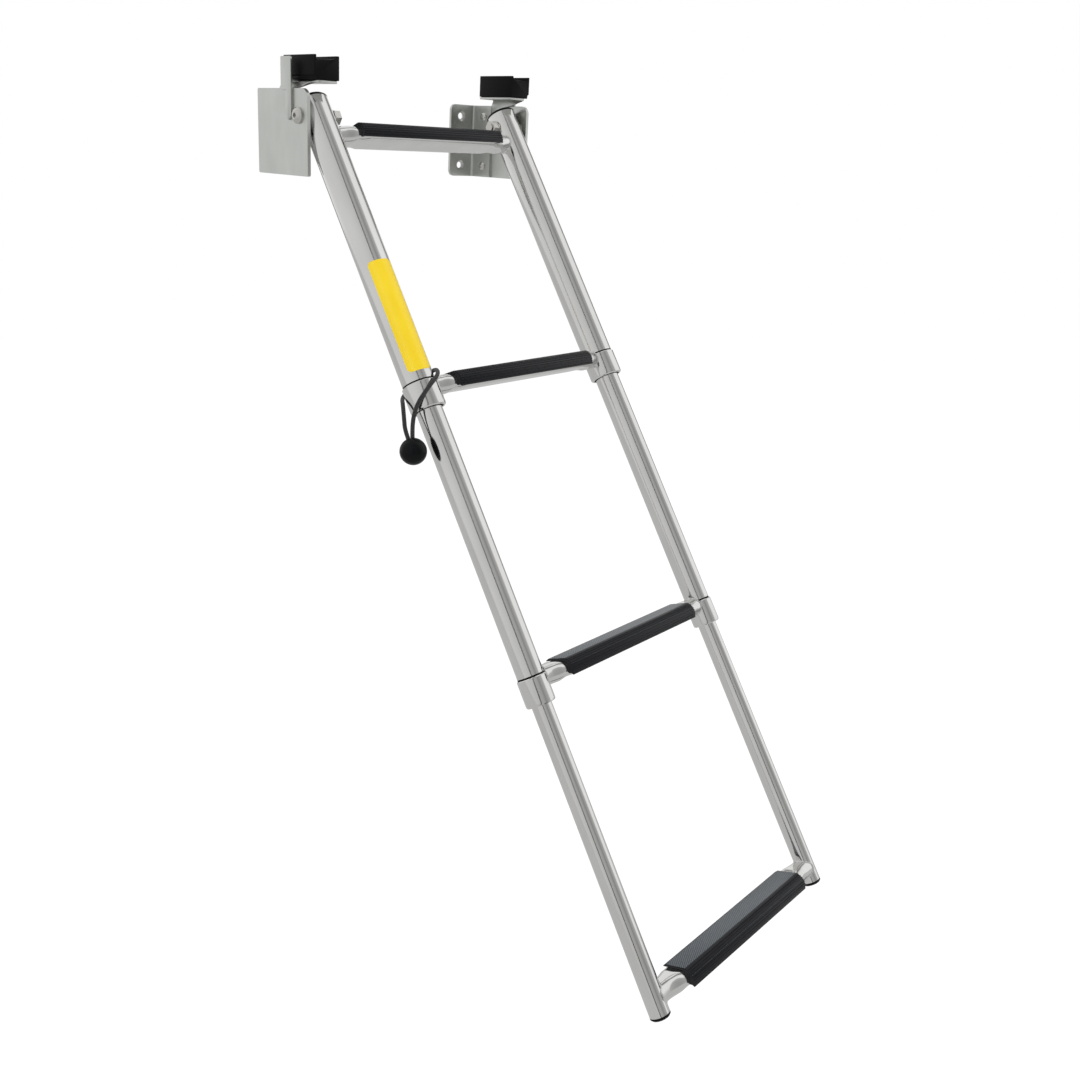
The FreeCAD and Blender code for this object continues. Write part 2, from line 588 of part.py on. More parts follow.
save_ladder_pair("inner_tube", inner_tube())
save_ladder_pair("inner_guide", guide_ring(MIDDLE_BORE, INNER_TUBE_RADIUS, THIRD_RUNG, INNER_TUBE_TOP))
save_ladder_pair("end_plug", end_cap(INNER_TUBE_RADIUS, INNER_BORE, INNER_TUBE_BOTTOM, -1, PLUG_SPIGOT))

rungs = [("first", FIRST_RUNG, OUTER_TUBE_RADIUS), ("second", SECOND_RUNG, OUTER_TUBE_RADIUS + COLLAR_STEP),
         ("third", THIRD_RUNG, MIDDLE_TUBE_RADIUS + COLLAR_STEP), ("fourth", FOURTH_RUNG, INNER_TUBE_RADIUS)]
for name, height, seat_radius in rungs:
    save(name + "_rung", on_ladder(rung(height, seat_radius)))
    save(name + "_tread", on_ladder(tread(height)))

save("bungee_cord", on_ladder(tube_along(cord_points(), CORD_RADIUS)))
save("bungee_ball", on_ladder(bungee_ball()))
save("label_plate", on_ladder(label_plate()))
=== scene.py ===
import bpy
import bmesh
import math
from mathutils import Matrix, Vector


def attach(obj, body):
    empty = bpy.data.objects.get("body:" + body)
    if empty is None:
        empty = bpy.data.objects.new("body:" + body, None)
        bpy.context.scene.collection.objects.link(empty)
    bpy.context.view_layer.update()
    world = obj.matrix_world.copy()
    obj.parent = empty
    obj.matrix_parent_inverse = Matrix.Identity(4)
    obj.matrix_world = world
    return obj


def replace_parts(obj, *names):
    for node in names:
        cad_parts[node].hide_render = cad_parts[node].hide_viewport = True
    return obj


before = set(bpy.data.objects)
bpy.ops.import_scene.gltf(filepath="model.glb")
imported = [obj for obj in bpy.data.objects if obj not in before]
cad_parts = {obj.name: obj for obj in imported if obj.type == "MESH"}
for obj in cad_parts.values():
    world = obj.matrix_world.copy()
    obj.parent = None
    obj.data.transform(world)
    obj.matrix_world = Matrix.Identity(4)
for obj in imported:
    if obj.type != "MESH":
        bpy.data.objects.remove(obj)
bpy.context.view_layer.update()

# Sizes shared with the part's source, millimetres and degrees

MM = 0.001
TILT = math.radians(33.8)
RUNG_TURN = math.radians(10.5)
PIVOT_Y = -72.1
PIVOT_Z = 15.5
LEFT_RAIL = -4.0
RIGHT_RAIL = 254.0
FIRST_RUNG = -21.0
SECOND_RUNG = FIRST_RUNG - 264.3
THIRD_RUNG = SECOND_RUNG - 286.0
FOURTH_RUNG = THIRD_RUNG - 287.0
OUTER_TUBE = 16.0
MIDDLE_TUBE = 12.7
INNER_TUBE = 9.5
COLLAR_STEP = 1.3
RUNG_WIDTH = 34.0
RUNG_HEIGHT = 15.0
TREAD_FROM_AXIS = 34.0
LEG_INNER = 15.0
CORD_DIAMETER = 4.0
BALL_RADIUS = 12.5

# Each side's name, its rail's axis and the way out from it along X
SIDES = (("left_", LEFT_RAIL, -1), ("right_", RIGHT_RAIL, 1))

# Each rung's name, its height on the rails, the radius that it is seated on and the body that carries it
RUNGS = (
    ("first", FIRST_RUNG, OUTER_TUBE, "upper_frame"),
    ("second", SECOND_RUNG, OUTER_TUBE + COLLAR_STEP, "upper_frame"),
    ("third", THIRD_RUNG, MIDDLE_TUBE + COLLAR_STEP, "middle_section"),
    ("fourth", FOURTH_RUNG, INNER_TUBE, "lower_section"),
)


def on_ladder(x, v, h):
    """A point across, towards the climber and up the rails from the pivot, in the part's frame."""
    up = Vector((0, math.sin(TILT), math.cos(TILT)))
    front = Vector((0, -math.cos(TILT), math.sin(TILT)))
    return (Vector((x, PIVOT_Y, PIVOT_Z)) + up * h + front * v) * MM


def on_rung(x, v, h, rung):
    """The same for a rung or tread, which is turned front edge down about its own length."""
    c, s = math.cos(RUNG_TURN), math.sin(RUNG_TURN)
    return on_ladder(x, v * c + h * s, rung + h * c - v * s)


# Camera, as fitted to the photograph

CAMERA_RIGHT = Vector((0.692514, -0.719848, 0.047365))
CAMERA_DOWN = Vector((-0.176035, -0.232292, -0.956584))
CAMERA_FORWARD = Vector((0.699598, 0.654109, -0.287584))
CAMERA_PLACE = Vector((-0.64936, -0.96562, 0.00016))
SENSOR_WIDTH = 36.0
FOCAL_LENGTH = 35.78
SHIFT_X = 0.01803
SHIFT_Y = -0.06851

camera_data = bpy.data.cameras.new("photo_camera")
camera_data.sensor_width = SENSOR_WIDTH
camera_data.lens = FOCAL_LENGTH
camera_data.shift_x = SHIFT_X
camera_data.shift_y = SHIFT_Y
camera = bpy.data.objects.new("photo_camera", camera_data)
bpy.context.collection.objects.link(camera)
axes = Matrix((CAMERA_RIGHT, -CAMERA_DOWN, -CAMERA_FORWARD)).transposed()
camera.matrix_world = Matrix.Translation(CAMERA_PLACE) @ axes.to_4x4()
bpy.context.scene.camera = camera
bpy.context.scene.view_settings.view_transform = "Standard"


# What the materials are made with

def srgb(code):
    """A hex colour as the eye sees it, turned to the linear values that shaders take."""
    channels = [int(code[i:i + 2], 16) / 255 for i in (1, 3, 5)]
    linear = [c / 12.92 if c <= 0.04045 else ((c + 0.055) / 1.055) ** 2.4 for c in channels]
    return (*linear, 1.0)


def node(tree, kind, settings=None, **inputs):
    """Adds a node. Its inputs go by name, with _ for spaces, or by number, as in i0, and take values
    or sockets."""
    made = tree.nodes.new(kind)
    for key, value in (settings or {}).items():
        setattr(made, key, value)
    for key, value in inputs.items():
        numbered = key[0] == "i" and key[1:].isdigit()
        socket = made.inputs[int(key[1:])] if numbered else made.inputs[key.replace("_", " ")]
        if isinstance(value, bpy.types.NodeSocket):
            tree.links.new(value, socket)
        else:
            socket.default_value = value
    return made


def new_material(name):
    made = bpy.data.materials.new(name)
    made.use_nodes = True
    made.node_tree.nodes.clear()
    return made, made.node_tree


def finish_material(tree, **inputs):
    """The shader with its inputs, and the output."""
    shader = node(tree, "ShaderNodeBsdfPrincipled", **inputs)
    node(tree, "ShaderNodeOutputMaterial", Surface=shader.outputs[0])


def object_place(tree):
    return node(tree, "ShaderNodeTexCoord").outputs["Object"]


def scaled(tree, place, scale):
    return node(tree, "ShaderNodeMapping", Vector=place, Scale=scale).outputs[0]


def levelled(tree, place, tilt):
    """Coordinates turned about X, so that Z runs along what is tilted."""
    return node(tree, "ShaderNodeMapping", Vector=place, Rotation=(tilt, 0, 0)).outputs[0]


def ladder_place(tree, scale):
    """Object coordinates with Z along the tilted rails."""
    return scaled(tree, levelled(tree, object_place(tree), TILT), scale)


def noise(tree, place, scale, detail, roughness=0.5):
    return node(tree, "ShaderNodeTexNoise", Vector=place, Scale=scale, Detail=detail,
                Roughness=roughness).outputs[0]


def calculate(tree, operation, *values):
    inputs = {"i" + str(number): value for number, value in enumerate(values)}
    return node(tree, "ShaderNodeMath", {"operation": operation}, **inputs).outputs[0]


def spread(tree, value, low, high):
    """Takes a value from 0 to 1 to the range from low to high."""
    return node(tree, "ShaderNodeMapRange", Value=value, To_Min=low, To_Max=high).outputs[0]


def blend(tree, share, one, two):
    """A colour between two others."""
    return node(tree, "ShaderNodeMix", {"data_type": "RGBA"}, Factor=share, i6=one, i7=two).outputs[2]


def relief(tree, height, strength, depth, invert=False):
    return node(tree, "ShaderNodeBump", {"invert": invert}, Strength=strength, Distance=depth,
                Height=height).outputs[0]


# Materials

HATCH_PITCH = 2.4


def polished_stainless():
    """Bright polished stainless tube, drawn and buffed lengthwise: clear reflections, softened by
    fine streaks."""
    made, tree = new_material("polished_stainless")
    streaks = noise(tree, ladder_place(tree, (900, 900, 14)), 1.0, 3.0, 0.6)
    smears = noise(tree, ladder_place(tree, (40, 40, 12)), 1.0, 4.0, 0.55)
    rough = calculate(tree, "MULTIPLY_ADD", smears, 0.05, spread(tree, streaks, 0.07, 0.15))
    finish_material(tree, Base_Color=blend(tree, smears, srgb("#d2d1ce"), srgb("#e6e6e5")),
                    Metallic=1.0, Roughness=rough, Normal=relief(tree, streaks, 0.05, 0.0001))
    return made


def satin_plate():
    """Stainless sheet with a fine vertical brushed grain, cut and folded: soft mottled reflections."""
    made, tree = new_material("satin_stainless_sheet")
    place = object_place(tree)
    grain = noise(tree, scaled(tree, place, (1500, 1500, 40)), 1.0, 2.0)
    cloud = noise(tree, scaled(tree, place, (60, 60, 25)), 1.0, 4.0)
    finish_material(tree, Base_Color=blend(tree, cloud, srgb("#c3c5c1"), srgb("#d6d8d4")),
                    Metallic=1.0, Roughness=spread(tree, grain, 0.3, 0.4),
                    Normal=relief(tree, grain, 0.03, 0.0001))
    return made


def turned_fastener():
    """Cold-headed stainless screws and nuts: bright with a slight tumble-finished grain."""
    made, tree = new_material("tumbled_stainless_fastener")
    grain = noise(tree, object_place(tree), 900.0, 3.0)
    finish_material(tree, Base_Color=blend(tree, grain, srgb("#b9b7b2"), srgb("#d9d8d4")),
                    Metallic=1.0, Roughness=spread(tree, grain, 0.18, 0.36))
    return made


def moulded_nylon(name, dark, light, rough_low, rough_high, grit_mm):
    """Black injection-moulded nylon: near-black with a faint grey bloom and a fine spark-eroded grit."""
    made, tree = new_material(name)
    place = object_place(tree)
    grit = noise(tree, place, 1000.0 / grit_mm, 2.0)
    bloom = noise(tree, place, 90.0, 3.0)
    finish_material(tree, Base_Color=blend(tree, bloom, srgb(dark), srgb(light)),
                    Roughness=spread(tree, bloom, rough_low, rough_high), IOR=1.53,
                    Specular_IOR_Level=0.1, Normal=relief(tree, grit, 0.25, 0.00006))
    return made


def tread_rubber(name, dark, light, rough, hatched):
    """Charcoal moulded rubber-filled plastic; the top panel carries a crossed hatch of raised knobs,
    pressed in by the mould, and the knobs are painted a light blue-grey as a highlight."""
    made, tree = new_material(name)
    place = object_place(tree)
    grit = noise(tree, place, 1600.0, 2.0)
    bloom = noise(tree, place, 70.0, 3.0)
    colour, height = blend(tree, bloom, srgb(dark), srgb(light)), grit
    if hatched:
        part = node(tree, "ShaderNodeSeparateXYZ", Vector=levelled(tree, place, TILT - RUNG_TURN))
        turns = [calculate(tree, "MULTIPLY", part.outputs[axis], 2 * math.pi / (HATCH_PITCH * MM))
                 for axis in (0, 1)]
        knobs = calculate(tree, "MULTIPLY", *[calculate(tree, "SINE", turn) for turn in turns])
        knob_relief_and_highlight = node(tree, "ShaderNodeMapRange", Value=knobs, From_Min=-0.2, From_Max=0.5).outputs[0]
        # Painted highlight: the raised knobs are coloured light blue-grey as if catching the light; the
        # same mask also lifts them as bumps
        colour = blend(tree, knob_relief_and_highlight, colour, srgb("#667078"))
        height = calculate(tree, "MULTIPLY_ADD", grit, 0.2, knob_relief_and_highlight)
    finish_material(tree, Base_Color=colour, Roughness=rough, IOR=1.5,
                    Specular_IOR_Level=0.7 if hatched else 0.35,
                    Normal=relief(tree, height, 0.4, 0.0002))
    return made


def shock_cord():
    """Black elastic cord in a woven sheath: dull, with its 1 mm plait showing as small ridges, and
    painted shade in the grooves between them.
    """
    made, tree = new_material("plaited_black_sheath")
    cells = node(tree, "ShaderNodeTexVoronoi", Vector=object_place(tree), Scale=1100.0)
    plait_and_groove_shade = cells.outputs["Distance"]
    # Painted shade: darker towards the edges of each plait cell, where the grooves are, and lighter on
    # the raised middles
    finish_material(tree, Base_Color=blend(tree, plait_and_groove_shade, srgb("#3a3a3b"), srgb("#161617")),
                    Roughness=0.85, IOR=1.5, Sheen_Weight=0.2,
                    Normal=relief(tree, plait_and_groove_shade, 0.6, 0.0003, invert=True))
    return made


def yellow_film():
    """Plain yellow vinyl under a clear gloss laminate, with a slight wave where it was rolled on."""
    made, tree = new_material("yellow_vinyl_film")
    wave = noise(tree, ladder_place(tree, (60, 60, 35)), 1.0, 2.0)
    finish_material(tree, Base_Color=blend(tree, wave, srgb("#f3cf05"), srgb("#fbdc12")),
                    Roughness=0.42, IOR=1.5, Coat_Weight=0.3, Coat_Roughness=0.15,
                    Normal=relief(tree, wave, 0.15, 0.0002))
    return made


STEEL_TUBE = polished_stainless()
STEEL_SHEET = satin_plate()
FASTENER = turned_fastener()
BLACK_NYLON = moulded_nylon("black_moulded_nylon", "#060607", "#0d0d0f", 0.4, 0.5, 0.35)
GLOSS_NYLON = moulded_nylon("gloss_black_moulding", "#08090a", "#121315", 0.22, 0.34, 0.8)
TREAD = tread_rubber("ribbed_charcoal_tread", "#0c0d11", "#15161b", 0.42, False)
# Painted sheen: the top panel's colours are lighter and bluer than the sides', standing in for the light
# that the top catches
HATCHED_TREAD_WITH_SHEEN = tread_rubber("hatched_tread_painted_sheen", "#101317", "#1b2026", 0.38, True)
SHEATH = shock_cord()
FILM = yellow_film()


# Smooth shading with crisp edges, as a live modifier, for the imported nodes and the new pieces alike

MERGE_WITHIN = 0.002
CRISP_FROM = 32


def edge_shading():
    group = bpy.data.node_groups.new("crisp_edges", "GeometryNodeTree")
    group.interface.new_socket("Geometry", in_out="INPUT", socket_type="NodeSocketGeometry")
    group.interface.new_socket("Geometry", in_out="OUTPUT", socket_type="NodeSocketGeometry")
    start = group.nodes.new("NodeGroupInput")
    end = group.nodes.new("NodeGroupOutput")
    weld = node(group, "GeometryNodeMergeByDistance", Geometry=start.outputs[0],
                Distance=MERGE_WITHIN * MM)
    soft = node(group, "GeometryNodeSetShadeSmooth", {"domain": "FACE"}, Geometry=weld.outputs[0])
    angle = node(group, "GeometryNodeInputMeshEdgeAngle")
    sharp = node(group, "FunctionNodeCompare", {"data_type": "FLOAT", "operation": "GREATER_THAN"},
                 i0=angle.outputs["Unsigned Angle"], i1=math.radians(CRISP_FROM))
    crisp = node(group, "GeometryNodeSetShadeSmooth", {"domain": "EDGE"}, Geometry=soft.outputs[0],
                 Selection=sharp.outputs[0], Shade_Smooth=False)
    group.links.new(crisp.outputs[0], end.inputs[0])
    return group


CRISP = edge_shading()


def shade(piece):
    piece.modifiers.new("crisp_edges", "NODES").node_group = CRISP


def dress(name, material):
    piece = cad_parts[name]
    piece.data.materials.clear()
    piece.data.materials.append(material)
    shade(piece)


DRESSED = (
    (STEEL_SHEET, ("base_angle", "cheek_plate")),
    (FASTENER, ("pivot_bolt", "pivot_nut")),
    (STEEL_TUBE, ("outer_tube", "upper_collar", "middle_tube", "lower_collar", "inner_tube")),
    (BLACK_NYLON, ("top_cap", "upper_bush", "middle_guide", "lower_bush", "inner_guide", "end_plug")),
)
for material, pieces in DRESSED:
    for piece in pieces:
        for side_name, rail, side in SIDES:
            dress(side_name + piece, material)


# What the new pieces are made with

def add_piece(name, mesh, material, body):
    """A finished bmesh becomes an object at the origin that rides on one body."""
    bmesh.ops.recalc_face_normals(mesh, faces=mesh.faces)
    data = bpy.data.meshes.new(name)
    mesh.to_mesh(data)
    mesh.free()
    piece = bpy.data.objects.new(name, data)
    bpy.context.collection.objects.link(piece)
    data.materials.append(material)
    shade(piece)
    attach(piece, body)
    return piece


def round_bar(name, points, radius, roundness, steps, material):
    """A round bar along a smooth curve near its points, as a curve object and its spline."""
    path = bpy.data.curves.new(name, "CURVE")
    path.dimensions = "3D"
    path.bevel_depth = radius * MM
    path.bevel_resolution = roundness
    spline = path.splines.new("NURBS")
    spline.points.add(len(points) - 1)
    for made, point in zip(spline.points, points):
        made.co = (*point, 1)
    spline.order_u = 3
    spline.resolution_u = steps
    piece = bpy.data.objects.new(name, path)
    bpy.context.collection.objects.link(piece)
    path.materials.append(material)
    return piece, spline


def loft(mesh, loops):
    """Joins closed loops that have as many points each, and closes both ends."""
    for one, two in zip(loops, loops[1:]):
        for i in range(len(one)):
            j = (i + 1) % len(one)
            mesh.faces.new((one[i], one[j], two[j], two[i]))
    mesh.faces.new(loops[0])
    mesh.faces.new(loops[-1])


def draw_out(mesh, corners, shift):
    """Makes a prism of a closed outline, drawn out by a vector."""
    face = mesh.faces.new([mesh.verts.new(corner) for corner in corners])
    run = bmesh.ops.extrude_face_region(mesh, geom=[face], use_keep_orig=True)
    moved = [e for e in run["geom"] if isinstance(e, bmesh.types.BMVert)]
    bmesh.ops.translate(mesh, verts=moved, vec=shift)


def prism_along_rung(mesh, outline, start, end, height):
    """A prism along X of a rung's or tread's section."""
    draw_out(mesh, [on_rung(start, v, h, height) for v, h in outline],
             on_rung(end, 0, 0, height) - on_rung(start, 0, 0, height))


def prism_between(mesh, outline, axis, start, end):
    """A prism along X or Y of an outline of (across, up) points."""
    def place(u, w, t):
        return Vector((u, t, w)) * MM if axis == "Y" else Vector((t, u, w)) * MM

    draw_out(mesh, [place(u, w, start) for u, w in outline], place(0, 0, end) - place(0, 0, start))
    bmesh.ops.recalc_face_normals(mesh, faces=mesh.faces)


def soften(mesh, reach, least=25):
    """Rounds every edge that turns by more than the least angle."""
    sharp = [e for e in mesh.edges
             if len(e.link_faces) == 2 and e.calc_face_angle(0) > math.radians(least)]
    bmesh.ops.bevel(mesh, geom=sharp, offset=reach * MM, segments=2, profile=0.5, affect="EDGES",
                    material=-1, clamp_overlap=True)


# Rungs: round tube ends that widen and flatten to an oval under the treads

END_WIDTH = 20.5
END_HEIGHT = 18.6
LIP_WIDTH = 28.0
# Where each change begins and ends, from the rail's axis
HEIGHT_CHANGE = (25.0, 33.0)
FLARE = (12.0, 34.0)
PRESSED = (35.0, 44.0)
# Share of the seat's radius that the rung's end may reach across
SEAT_REACH = 0.985
# Rings on the end face, as shares of its outline, and sections along the rung
END_SHARES = (0.3, 0.65, 1.0)
FIRST_STATION = 2.0
STATION_GAP = 1.0
STATIONS = (15, 18, 21, 24, 26, 27.5, 29, 30.5, 32, 33, 35, 37, 39, 41, 43, 45, 60, 90)
FLAT_STEPS = 6


def oval(width, height):
    """Points round a flat oval, always as many, from the underside over the front to the back."""
    r = height / 2
    flat = width / 2 - r
    turns = [math.radians(degrees) for degrees in range(-90, 90, 10)]
    outline = [(flat + r * math.cos(turn), r * math.sin(turn)) for turn in turns]
    outline += [(flat - 2 * flat * i / FLAT_STEPS, r) for i in range(FLAT_STEPS)]
    return outline + [(-v, -h) for v, h in outline]


def eased(value, low, high):
    """From 0 to 1 in a smooth curve, as a value goes from low to high."""
    share = max(0.0, min(1.0, (value - low) / (high - low)))
    return share * share * (3 - 2 * share)


def rung_section(from_axis):
    """The rung's section at a distance from the rail's axis."""
    width = END_WIDTH + (LIP_WIDTH - END_WIDTH) * eased(from_axis, *FLARE)
    width += (RUNG_WIDTH - LIP_WIDTH) * eased(from_axis, *PRESSED)
    return oval(width, END_HEIGHT + (RUNG_HEIGHT - END_HEIGHT) * eased(from_axis, *HEIGHT_CHANGE))


def on_seat(v, h, seat):
    """How far from the rail's axis a point of the rung's end meets the round tube or collar."""
    across = v * math.cos(RUNG_TURN) + h * math.sin(RUNG_TURN)
    reach = seat * SEAT_REACH
    return math.sqrt(seat ** 2 - max(-reach, min(reach, across)) ** 2)


def make_rung(name, height, seat, body):
    """Ends fitted to the round seats, and sections from both rails to the middle."""
    mesh = bmesh.new()
    rows = [[(on_seat(v * share, h * share, seat), v * share, h * share)
             for v, h in oval(END_WIDTH, END_HEIGHT)] for share in END_SHARES]
    first = seat + FIRST_STATION
    for station in (first, *[d for d in STATIONS if d > first + STATION_GAP]):
        rows.append([(station, v, h) for v, h in rung_section(station)])
    loops = [[mesh.verts.new(on_rung(LEFT_RAIL + d, v, h, height)) for d, v, h in row]
             for row in rows]
    loops += [[mesh.verts.new(on_rung(RIGHT_RAIL - d, v, h, height)) for d, v, h in row]
              for row in reversed(rows)]
    loft(mesh, loops)
    return add_piece(name, mesh, STEEL_TUBE, body)


for rung, height, seat, body in RUNGS:
    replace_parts(make_rung("round_ended_" + rung + "_rung", height, seat, body), rung + "_rung")


# Treads, with ribs moulded round the front

TREAD_CLEARANCE = 0.1
TREAD_WALL = 2.4
TREAD_SEAT = RUNG_HEIGHT / 2 + TREAD_CLEARANCE
TREAD_TOP = TREAD_SEAT + TREAD_WALL
TREAD_BACK = 13.0
BACK_EDGE = 0.7
BACK_SLOPE = 3.5
TREAD_FLAT_TO = 11.0
TREAD_NOSE = 20.15
# Turns round the front, in degrees up from level
ABOVE_RIBS = (84, 78, 71)
RIBS_FROM = 64
RIBS_TO = -32
RIB_FLANK = 2
TREAD_FOOT = -38
FOOT_FLANK = 3
INSIDE_FROM = -35
INSIDE_TO = 90
INSIDE_STEPS = 8
# Cuts into the front, as shares of the way out to it
TREAD_RIBS = 7
RIB_CUT = 0.06
FOOT_CUT = 0.03
# Lips and rims at the ends
LIP_STEP = 0.2
LIP_INSET = 0.15
LIP_DEPTH = 3.0
RIM_RADIUS = 0.25
# Points nearer than this, in metres, lie in one place; a face this square to the rung faces up
SAME_PLACE = 1e-6
FACING_UP = 0.995


def on_nose(degrees, share=1.0):
    """A point of the tread's rounded front, or at a share of the way out to it."""
    turn = math.radians(degrees)
    return (TREAD_FLAT_TO + share * (TREAD_NOSE - TREAD_FLAT_TO) * math.cos(turn),
            share * TREAD_TOP * math.sin(turn))


def round_front(width, radius):
    """Points round the front of a rung of this width, from below it up to its top."""
    flat = (width - RUNG_HEIGHT) / 2
    turns = [math.radians(INSIDE_FROM + i * (INSIDE_TO - INSIDE_FROM) / INSIDE_STEPS)
             for i in range(INSIDE_STEPS + 1)]
    return [(flat + radius * math.cos(turn), radius * math.sin(turn)) for turn in turns]


def tread_outline():
    """Section of a tread, towards the climber and up: thin back edge, flat top, ribbed front."""
    outline = [(-TREAD_BACK, TREAD_SEAT), (-TREAD_BACK, TREAD_SEAT + BACK_EDGE),
               (-TREAD_BACK + BACK_SLOPE, TREAD_TOP), (TREAD_FLAT_TO, TREAD_TOP)]
    outline += [on_nose(turn) for turn in ABOVE_RIBS]
    pitch = (RIBS_FROM - RIBS_TO) / TREAD_RIBS
    for i in range(TREAD_RIBS):
        high = RIBS_FROM - i * pitch
        low = high - 0.5 * pitch
        outline += [on_nose(high), on_nose(high - RIB_FLANK, 1 - RIB_CUT), on_nose(low, 1 - RIB_CUT),
                    on_nose(low - RIB_FLANK), on_nose(high - 0.8 * pitch)]
    outline += [on_nose(TREAD_FOOT + FOOT_FLANK), on_nose(TREAD_FOOT, 1 - FOOT_CUT)]
    return outline + round_front(RUNG_WIDTH, TREAD_SEAT)


def lip_outline():
    """Section of the lip that closes a tread's end between its shell and the narrower rung end."""
    return round_front(LIP_WIDTH, TREAD_SEAT)[::-1] + round_front(RUNG_WIDTH, TREAD_SEAT + LIP_STEP)


def make_tread(name, height, body):
    """Shell and two end lips; the faces on top carry the hatched material, whose lighter colours are
    painted sheen.
    """
    mesh = bmesh.new()
    start = LEFT_RAIL + TREAD_FROM_AXIS
    end = RIGHT_RAIL - TREAD_FROM_AXIS
    prism_along_rung(mesh, tread_outline(), start, end, height)
    prism_along_rung(mesh, lip_outline(), start + LIP_INSET, start + LIP_DEPTH, height)
    prism_along_rung(mesh, lip_outline(), end - LIP_DEPTH, end - LIP_INSET, height)
    bmesh.ops.recalc_face_normals(mesh, faces=mesh.faces)
    rims = [e for e in mesh.edges for x in (start, end)
            if all(abs(v.co.x - x * MM) < SAME_PLACE for v in e.verts)]
    bmesh.ops.bevel(mesh, geom=rims, offset=RIM_RADIUS * MM, segments=2, profile=0.5,
                    affect="EDGES", material=-1)
    upright = (on_rung(0, 0, 1, height) - on_rung(0, 0, 0, height)).normalized()
    mesh.normal_update()
    for face in mesh.faces:
        if face.normal.dot(upright) > FACING_UP:
            face.material_index = 1
    piece = add_piece(name, mesh, TREAD, body)
    piece.data.materials.append(HATCHED_TREAD_WITH_SHEEN)
    return piece


for rung, height, seat, body in RUNGS:
    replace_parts(make_tread("ribbed_" + rung + "_tread", height, body), rung + "_tread")


# Grip blocks, moulded with a cap on the outer end and a small flange on the inner one

GRIP_REAR = -41.0
GRIP_FRONT = -90.6
GRIP_ROUNDING = 0.45
# Inwards from the rail's axis, and up
GRIP_OUTLINE = (
    (-16.0, 70.3), (-16.0, 52.4), (-14.2, 51.4), (-13.6, 48.0), (9.6, 48.0), (10.0, 48.4),
    (12.6, 48.4), (12.6, 69.9), (12.2, 70.4), (9.6, 70.4), (9.2, 69.0), (8.0, 67.6), (4.0, 66.8),
    (-4.0, 66.2), (-12.6, 66.0), (-13.4, 66.6), (-13.6, 70.3),
)


def make_grip_block(name, rail, side):
    mesh = bmesh.new()
    prism_between(mesh, [(rail - side * x, z) for x, z in GRIP_OUTLINE], "Y", GRIP_REAR, GRIP_FRONT)
    soften(mesh, GRIP_ROUNDING)
    return add_piece(name, mesh, BLACK_NYLON, "brackets")


for side_name, rail, side in SIDES:
    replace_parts(make_grip_block(side_name + "moulded_grip", rail, side), side_name + "grip_block")


# Latch bars: a strap on the cheek's outer face, a shelf that carries the grip, and a leg that bends
# down from the shelf

LATCH_SHEET = 2.3
LATCH_ROUNDING = 0.3
LATCH_SHARP = 40
STRAP_FACE = 21.5
STRAP_OUTLINE = (
    (-47.0, 38.5), (-47.0, 68.2), (-49.0, 68.5), (-61.5, 68.5), (-63.5, 66.5), (-63.5, 15.2),
    (-58.8, 11.0), (-54.0, 15.2), (-54.0, 36.0), (-54.6, 37.6), (-56.2, 38.2),
)
# The bridge between strap and shelf
BRIDGE_FROM = 14.0
BRIDGE_INTO_STRAP = 1.5
BRIDGE_REAR = -47.0
BRIDGE_FRONT = -63.5
# Shelf stations are (out, front edge), leg stations (up, rear edge, front edge)
SHELF_TOP = 48.0
SHELF_REAR = -40.5
SHELF_FRONT = -90.0
SHELF_STATIONS = ((-11.5, -88.5), (-10.5, SHELF_FRONT), (6.0, SHELF_FRONT))
BEND_RADIUS = 7.0
BEND_STEPS = 6
BEND_FRONT = -68.0
LEG_FACE = 16.3
LEG_REAR = -34.0
LEG_STATIONS = (
    (39.5, LEG_REAR, -60.0), (38.0, LEG_REAR, -53.5), (36.5, LEG_REAR, -50.5),
    (32.5, LEG_REAR, -50.0), (31.2, -39.0, -46.0),
)


def latch_stations():
    """Points along the sheet's outer face: out, up, the face's normal, and the rear and front edge."""
    stations = [(x, SHELF_TOP, 0.0, 1.0, SHELF_REAR, front) for x, front in SHELF_STATIONS]
    for i in range(BEND_STEPS + 1):
        share = i / BEND_STEPS
        out, up = math.sin(share * math.pi / 2), math.cos(share * math.pi / 2)
        stations.append((LEG_FACE - BEND_RADIUS + BEND_RADIUS * out,
                         SHELF_TOP - BEND_RADIUS + BEND_RADIUS * up, out, up,
                         SHELF_REAR + (LEG_REAR - SHELF_REAR) * share,
                         SHELF_FRONT + (BEND_FRONT - SHELF_FRONT) * share ** 1.5))
    return stations + [(LEG_FACE, z, 1.0, 0.0, rear, front) for z, rear, front in LEG_STATIONS]


def make_latch(name, rail, side):
    mesh = bmesh.new()
    face = rail + side * STRAP_FACE
    prism_between(mesh, STRAP_OUTLINE, "X", face, face + side * LATCH_SHEET)
    bridge_in, bridge_out = rail + side * BRIDGE_FROM, face + side * BRIDGE_INTO_STRAP
    under = SHELF_TOP - LATCH_SHEET
    prism_between(mesh, [(bridge_out, under), (bridge_out, SHELF_TOP), (bridge_in, SHELF_TOP),
                         (bridge_in, under)], "Y", BRIDGE_REAR, BRIDGE_FRONT)
    loops = []
    for x, z, out, up, rear, front in latch_stations():
        corners = [mesh.verts.new(Vector((rail + side * (x - out * depth), y, z - up * depth)) * MM)
                   for depth in (0.0, LATCH_SHEET) for y in (rear, front)]
        loops.append([corners[i] for i in (0, 1, 3, 2)])
    loft(mesh, loops)
    bmesh.ops.recalc_face_normals(mesh, faces=mesh.faces)
    soften(mesh, LATCH_ROUNDING, LATCH_SHARP)
    return add_piece(name, mesh, STEEL_SHEET, "brackets")


